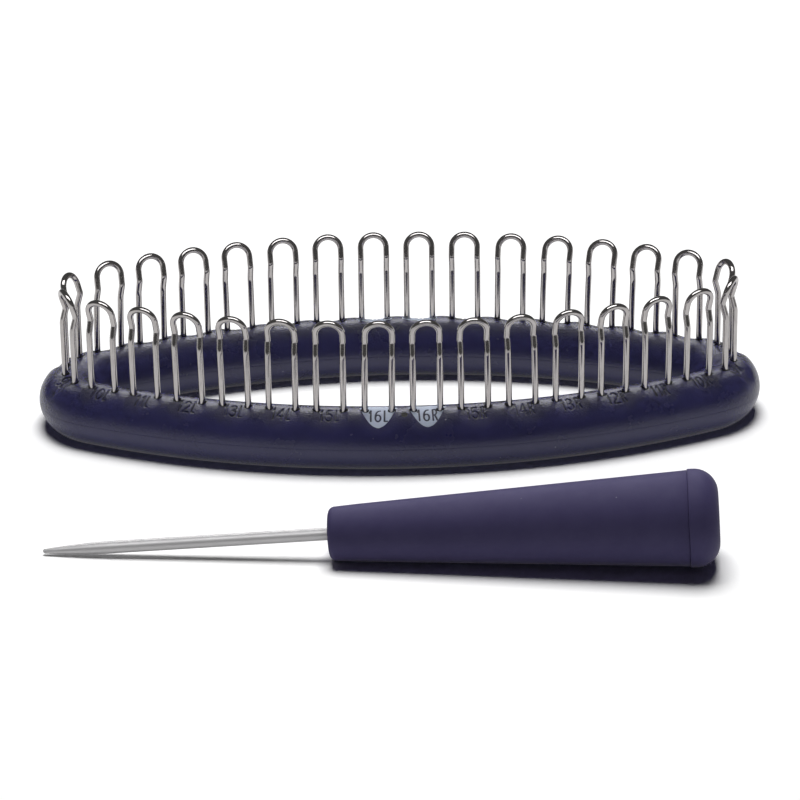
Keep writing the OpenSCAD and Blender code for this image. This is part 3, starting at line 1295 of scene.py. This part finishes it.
@dataclass(frozen=True)
class RingFinish:
    """Dark satin plastic of the ring, with pale painted index places."""

    base: Colour = srgb(45, 44, 85)
    tone: Colour = srgb(42, 41, 81)
    paint: Colour = srgb(170, 180, 202)
    # Near-black painted shade for the leg mouths, the marker dimple and the cut strokes, not a colour of
    # the plastic.
    recess_shade: Colour = srgb(8, 8, 14)
    dust: Colour = srgb(150, 150, 168)
    roughness: tuple[float, float] = (0.22, 0.28)
    paint_roughness: float = 0.42
    # Share of painted shade in the cut strokes.
    cut_shade: float = 0.6
    cut_dull: float = 0.1
    hole_dull: float = 0.45
    grain: float = 2200.0
    grain_bump: float = 0.6
    speck_spacing: float = 330.0
    speck_size: float = 0.065
    speck_share: float = 0.16

    def material(self, groups: SharedGroups, marked: bool) -> bpy.types.Material:
        """Builds the material of one moulding.

        Args:
            groups: Shared shader groups.
            marked: Whether the moulding carries labels and paint.

        Returns:
            The material.
        """
        name = "ring_plastic_marked" if marked else "ring_plastic_plain"
        material, board, shader = new_material(name)
        place = board.add("ShaderNodeTexCoord").outputs["Object"]
        grain = board.add("ShaderNodeGroup", node_tree=groups.grain)
        grain.inputs["Fineness"].default_value = self.grain
        specks = board.add("ShaderNodeGroup", node_tree=groups.specks)
        specks.inputs["Spacing"].default_value = self.speck_spacing
        specks.inputs["Size"].default_value = self.speck_size
        specks.inputs["Share"].default_value = self.speck_share
        for node in (grain, specks):
            board.join(place, node.inputs["Vector"])
        colour = board.mix(grain.outputs["Mottle"], self.base, self.tone)
        rough = board.spread(grain.outputs["Mottle"], 0.0, 1.0, *self.roughness)
        colour = board.mix(specks.outputs["Mask"], colour, self.dust)
        bump = board.add("ShaderNodeBump", Strength=self.grain_bump, Distance=0.0002)
        board.join(grain.outputs["Height"], bump.inputs["Height"])
        if marked:
            colour, rough = self._marks(board, colour, rough)
        board.join(colour, shader.inputs["Base Color"])
        board.join(rough, shader.inputs["Roughness"])
        board.join(bump.outputs["Normal"], shader.inputs["Normal"])
        shader.inputs["IOR"].default_value = 1.5
        return material

    def _marks(
        self, board: NodeBoard, colour: bpy.types.NodeSocket, rough: bpy.types.NodeSocket
    ) -> tuple[bpy.types.NodeSocket, bpy.types.NodeSocket]:
        """Adds the painted places, and painted shade in the cut strokes, the leg mouths and the marker
        dimple.

        Args:
            board: Board of the material.
            colour: Plain colour.
            rough: Plain roughness.

        Returns:
            The marked colour and roughness.
        """
        paint = board.add("ShaderNodeAttribute", attribute_name="paint").outputs["Fac"]
        stroke = board.add("ShaderNodeAttribute", attribute_name="stroke").outputs["Fac"]
        recess_shade = board.add("ShaderNodeAttribute", attribute_name="recess_shade").outputs["Fac"]
        on_paint = board.spread(paint, -0.06, 0.1, 0.0, 1.0)
        off_stroke = board.spread(stroke, -0.08, 0.06, 0.0, 1.0)
        mask = board.math("MULTIPLY", on_paint, off_stroke)
        cut = board.spread(stroke, 0.02, -0.12, 0.0, 1.0)
        # Painted shade in the cut strokes: their colour is drawn towards the near-black shade colour.
        colour = board.mix(board.math("MULTIPLY", cut, self.cut_shade), colour, self.recess_shade)
        colour = board.mix(mask, colour, self.paint)
        # Painted shade in the leg mouths and the marker dimple: the hole mask draws the colour to
        # near-black.
        hole = board.spread(recess_shade, 0.07, -0.03, 0.0, 1.0)
        colour = board.mix(hole, colour, self.recess_shade)
        pale = board.math("MULTIPLY", mask, self.paint_roughness)
        dark = board.math("MULTIPLY", board.math("SUBTRACT", 1.0, mask), rough)
        dull = board.math(
            "MAXIMUM",
            board.math("MULTIPLY", cut, self.cut_dull),
            board.math("MULTIPLY", hole, self.hole_dull),
        )
        rough = board.math("ADD", board.math("ADD", pale, dark), dull)
        return colour, rough


@dataclass(frozen=True)
class WireFinish:
    """Bright nickel on drawn wire."""

    bright: Colour = srgb(191, 187, 186)
    dull: Colour = srgb(169, 165, 164)
    roughness: tuple[float, float] = (0.11, 0.17)
    across: float = 3.0
    along: float = 0.35
    bump: float = 0.012

    def material(self, groups: SharedGroups) -> bpy.types.Material:
        """Builds the wire's material.

        Args:
            groups: Shared shader groups.

        Returns:
            The material.
        """
        material, board, shader = new_material("nickel_wire")
        place = board.add("ShaderNodeAttribute", attribute_name="wire_place").outputs["Vector"]
        drawn = board.add("ShaderNodeGroup", node_tree=groups.drawn)
        drawn.inputs["Across"].default_value = self.across
        drawn.inputs["Along"].default_value = self.along
        board.join(place, drawn.inputs["Vector"])
        streak = board.spread(drawn.outputs["Streak"], 0.35, 0.72, 0.0, 1.0)
        worn = board.math("MAXIMUM", streak, board.math("MULTIPLY", drawn.outputs["Nick"], 0.8))
        board.join(board.mix(worn, self.bright, self.dull), shader.inputs["Base Color"])
        board.join(board.spread(worn, 0.0, 1.0, *self.roughness), shader.inputs["Roughness"])
        bump = board.add("ShaderNodeBump", Strength=self.bump, Distance=0.0001)
        board.join(drawn.outputs["Streak"], bump.inputs["Height"])
        board.join(bump.outputs["Normal"], shader.inputs["Normal"])
        shader.inputs["Metallic"].default_value = 1.0
        return material


@dataclass(frozen=True)
class HandleFinish:
    """Matt moulded plastic of the pick's handle."""

    base: Colour = srgb(73, 68, 103)
    tone: Colour = srgb(70, 65, 100)
    dust: Colour = srgb(150, 146, 164)
    roughness: tuple[float, float] = (0.52, 0.56)
    gloss: float = 0.08
    grain: float = 5200.0
    grain_bump: float = 0.12
    speck_spacing: float = 260.0
    speck_size: float = 0.06
    speck_share: float = 0.16

    def material(self, groups: SharedGroups) -> bpy.types.Material:
        """Builds the handle's material.

        Args:
            groups: Shared shader groups.

        Returns:
            The material.
        """
        material, board, shader = new_material("matt_handle_plastic")
        place = board.add("ShaderNodeTexCoord").outputs["Object"]
        grain = board.add("ShaderNodeGroup", node_tree=groups.grain)
        grain.inputs["Fineness"].default_value = self.grain
        specks = board.add("ShaderNodeGroup", node_tree=groups.specks)
        specks.inputs["Spacing"].default_value = self.speck_spacing
        specks.inputs["Size"].default_value = self.speck_size
        specks.inputs["Share"].default_value = self.speck_share
        for node in (grain, specks):
            board.join(place, node.inputs["Vector"])
        colour = board.mix(grain.outputs["Mottle"], self.base, self.tone)
        colour = board.mix(specks.outputs["Mask"], colour, self.dust)
        board.join(colour, shader.inputs["Base Color"])
        rough = board.spread(grain.outputs["Mottle"], 0.0, 1.0, *self.roughness)
        board.join(rough, shader.inputs["Roughness"])
        bump = board.add("ShaderNodeBump", Strength=self.grain_bump, Distance=0.0002)
        board.join(grain.outputs["Height"], bump.inputs["Height"])
        board.join(bump.outputs["Normal"], shader.inputs["Normal"])
        shader.inputs["Specular IOR Level"].default_value = self.gloss
        return material


@dataclass(frozen=True)
class NeedleFinish:
    """Satin aluminium of the needle."""

    bright: Colour = srgb(195, 194, 195)
    dull: Colour = srgb(190, 189, 190)
    roughness: tuple[float, float] = (0.53, 0.57)
    across: float = 1800.0
    along: float = 130.0
    bump: float = 0.015

    def material(self, groups: SharedGroups) -> bpy.types.Material:
        """Builds the needle's material.

        Args:
            groups: Shared shader groups.

        Returns:
            The material.
        """
        material, board, shader = new_material("satin_aluminium")
        place = board.add("ShaderNodeTexCoord").outputs["Object"]
        turned = board.add("ShaderNodeVectorRotate", rotation_type="Y_AXIS", Angle=math.pi / 2)
        board.join(place, turned.inputs["Vector"])
        drawn = board.add("ShaderNodeGroup", node_tree=groups.drawn)
        drawn.inputs["Across"].default_value = self.across
        drawn.inputs["Along"].default_value = self.along
        board.join(turned.outputs["Vector"], drawn.inputs["Vector"])
        streak = board.spread(drawn.outputs["Streak"], 0.3, 0.7, 0.0, 1.0)
        board.join(board.mix(streak, self.bright, self.dull), shader.inputs["Base Color"])
        board.join(board.spread(streak, 0.0, 1.0, *self.roughness), shader.inputs["Roughness"])
        bump = board.add("ShaderNodeBump", Strength=self.bump, Distance=0.0001)
        board.join(drawn.outputs["Streak"], bump.inputs["Height"])
        board.join(bump.outputs["Normal"], shader.inputs["Normal"])
        shader.inputs["Metallic"].default_value = 1.0
        return material


@dataclass
class Studio:
    """Pale table, soft overhead light, dim surroundings and the camera."""

    floor_radius: float = 6.0
    floor_shown: float = 1.2
    floor_mirrored: float = 0.72
    floor_glow: float = 0.22
    floor_fade: tuple[float, float] = (0.22, 0.7)
    floor_bounce: float = 1.0
    room: float = 0.005
    room_mirrored: float = 0.09
    image_pixels: float = 800.0
    focal_pixels: float = 3354.24
    sensor: float = 36.0
    elevation: float = 22.6657
    yaw: float = -0.9625
    roll: float = -0.8162
    distance: float = 769.90
    target: tuple[float, float, float] = (-0.06, 0.0, 3.70)
    metal: bpy.types.Collection = field(
        default_factory=lambda: bpy.data.collections.new("bright_metal")
    )
    matt: bpy.types.Collection = field(
        default_factory=lambda: bpy.data.collections.new("matt_plastic")
    )
    satin: bpy.types.Collection = field(
        default_factory=lambda: bpy.data.collections.new("satin_plastic")
    )
    ring: bpy.types.Collection = field(
        default_factory=lambda: bpy.data.collections.new("ring_plastic")
    )

    def camera(self) -> None:
        """Puts the camera at the photograph's viewing angle."""
        el, yaw, roll = (math.radians(v) for v in (self.elevation, self.yaw, self.roll))
        back = Vector((
            math.sin(yaw) * math.cos(el), -math.cos(yaw) * math.cos(el), math.sin(el)
        ))
        right = (-back).cross(Vector((0, 0, 1))).normalized()
        up = right.cross(-back)
        across = right * math.cos(roll) + up * math.sin(roll)
        above = up * math.cos(roll) - right * math.sin(roll)
        turn = Matrix((across, above, back)).transposed().to_4x4()
        eye = Vector(self.target) + back * self.distance
        data = bpy.data.cameras.new("photo_camera")
        data.sensor_width = self.sensor
        data.lens = self.focal_pixels / self.image_pixels * self.sensor
        data.clip_start, data.clip_end = 0.05, 60.0
        camera = bpy.data.objects.new("photo_camera", data)
        camera.matrix_world = Matrix.Translation(eye * MM) @ turn
        bpy.context.scene.collection.objects.link(camera)
        bpy.context.scene.camera = camera

    def floor(self) -> None:
        """Lays a plain pale table that keeps the object's shadow."""
        turn = np.linspace(0, 2 * math.pi, 96, endpoint=False)
        rim = np.stack([np.cos(turn), np.sin(turn), 0 * turn], axis=-1)
        points = rim * self.floor_radius / MM
        table = make_piece("table_top", points, [list(range(len(points)))])
        material, board, shader = new_material("pale_table")
        path = board.add("ShaderNodeLightPath")
        mirrored = board.math(
            "MAXIMUM", path.outputs["Is Glossy Ray"], path.outputs["Is Transmission Ray"]
        )
        shade = board.mix(
            path.outputs["Is Camera Ray"], (self.floor_bounce,) * 3, (self.floor_shown,) * 3
        )
        shade = board.mix(mirrored, shade, (self.floor_mirrored,) * 3)
        board.join(shade, shader.inputs["Base Color"])
        reach = board.add("ShaderNodeVectorMath", operation="LENGTH")
        board.join(board.add("ShaderNodeTexCoord").outputs["Object"], reach.inputs[0])
        far = board.spread(reach.outputs["Value"], *self.floor_fade, 0.0, 1.0)
        far = board.math("MULTIPLY", far, path.outputs["Is Camera Ray"])
        glow = board.mix(far, (0.0,) * 3, (1.0,) * 3)
        glow = board.mix(mirrored, glow, (self.floor_glow,) * 3)
        board.join(glow, shader.inputs["Emission Color"])
        shader.inputs["Emission Strength"].default_value = 1.0
        shader.inputs["Roughness"].default_value = 1.0
        shader.inputs["Specular IOR Level"].default_value = 0.0
        table.data.materials.append(material)

    def lamp(
        self, name: str, place: Colour, size: tuple[float, float], power: float
    ) -> bpy.types.Object:
        """Hangs a soft box that faces the loom.

        Args:
            name: Name of the lamp.
            place: Where it hangs, in metres.
            size: Width and depth in metres.
            power: Power in watts.

        Returns:
            The lamp.
        """
        data = bpy.data.lights.new(name, "AREA")
        data.shape = "RECTANGLE"
        data.size, data.size_y = size
        data.energy = power
        lamp = bpy.data.objects.new(name, data)
        lamp.location = place
        lamp.rotation_mode = "QUATERNION"
        lamp.rotation_quaternion = (-Vector(place)).to_track_quat("-Z", "Y")
        lamp.visible_camera = False
        bpy.context.scene.collection.objects.link(lamp)
        return lamp

    def surroundings(self) -> None:
        """Sets dim surroundings round the table."""
        world = bpy.data.worlds.new("dim_room")
        world.use_nodes = True
        board = NodeBoard(world.node_tree)
        mirrored = board.add("ShaderNodeLightPath").outputs["Is Glossy Ray"]
        shade = board.mix(mirrored, (self.room,) * 3, (self.room_mirrored,) * 3)
        board.join(shade, world.node_tree.nodes["Background"].inputs["Color"])
        bpy.context.scene.world = world

    def build(self) -> None:
        """Sets up the whole studio."""
        self.camera()
        self.floor()
        self.surroundings()
        key = self.lamp("overhead_box", (0.0, 0.25, 1.17), (0.65, 0.66), 15.0)
        key.visible_glossy = False
        panel = self.lamp("back_panel", (0.0, 1.04, 0.86), (1.5, 0.5), 12.0)
        panel.visible_diffuse = False
        panel.light_linking.receiver_collection = self.satin
        bright = self.lamp("metal_box", (0.0, -0.46, 1.03), (1.3, 0.5), 9.0)
        bright.light_linking.receiver_collection = self.metal
        sheen = self.lamp("sheen_box", (0.0, 0.05, 1.2), (1.0, 0.75), 13.0)
        sheen.visible_diffuse = False
        sheen.light_linking.receiver_collection = self.matt
        fill = self.lamp("front_fill", (0.0, -1.1, 0.13), (1.6, 0.22), 1.7)
        fill.visible_glossy = False
        fill.light_linking.receiver_collection = self.ring
        bpy.context.scene.view_settings.view_transform = "Standard"


def main() -> None:
    """Builds the loom, the pick and the studio in order."""
    logging.basicConfig(level=logging.INFO, format="%(name)s %(message)s")
    groups = SharedGroups()
    studio = Studio()
    studio.build()
    for moulding in RingMouldings().dress(RingFinish(), groups):
        studio.satin.objects.link(moulding)
        studio.ring.objects.link(moulding)
    for pin in WirePins().dress(WireFinish(), groups):
        studio.metal.objects.link(pin)
    sleeve, cap, needle = Pick().dress(HandleFinish(), NeedleFinish(), groups)
    studio.metal.objects.link(needle)
    studio.satin.objects.link(needle)
    for plastic in (sleeve, cap):
        studio.matt.objects.link(plastic)
        studio.satin.objects.link(plastic)


if __name__ == "__main__":
    main()
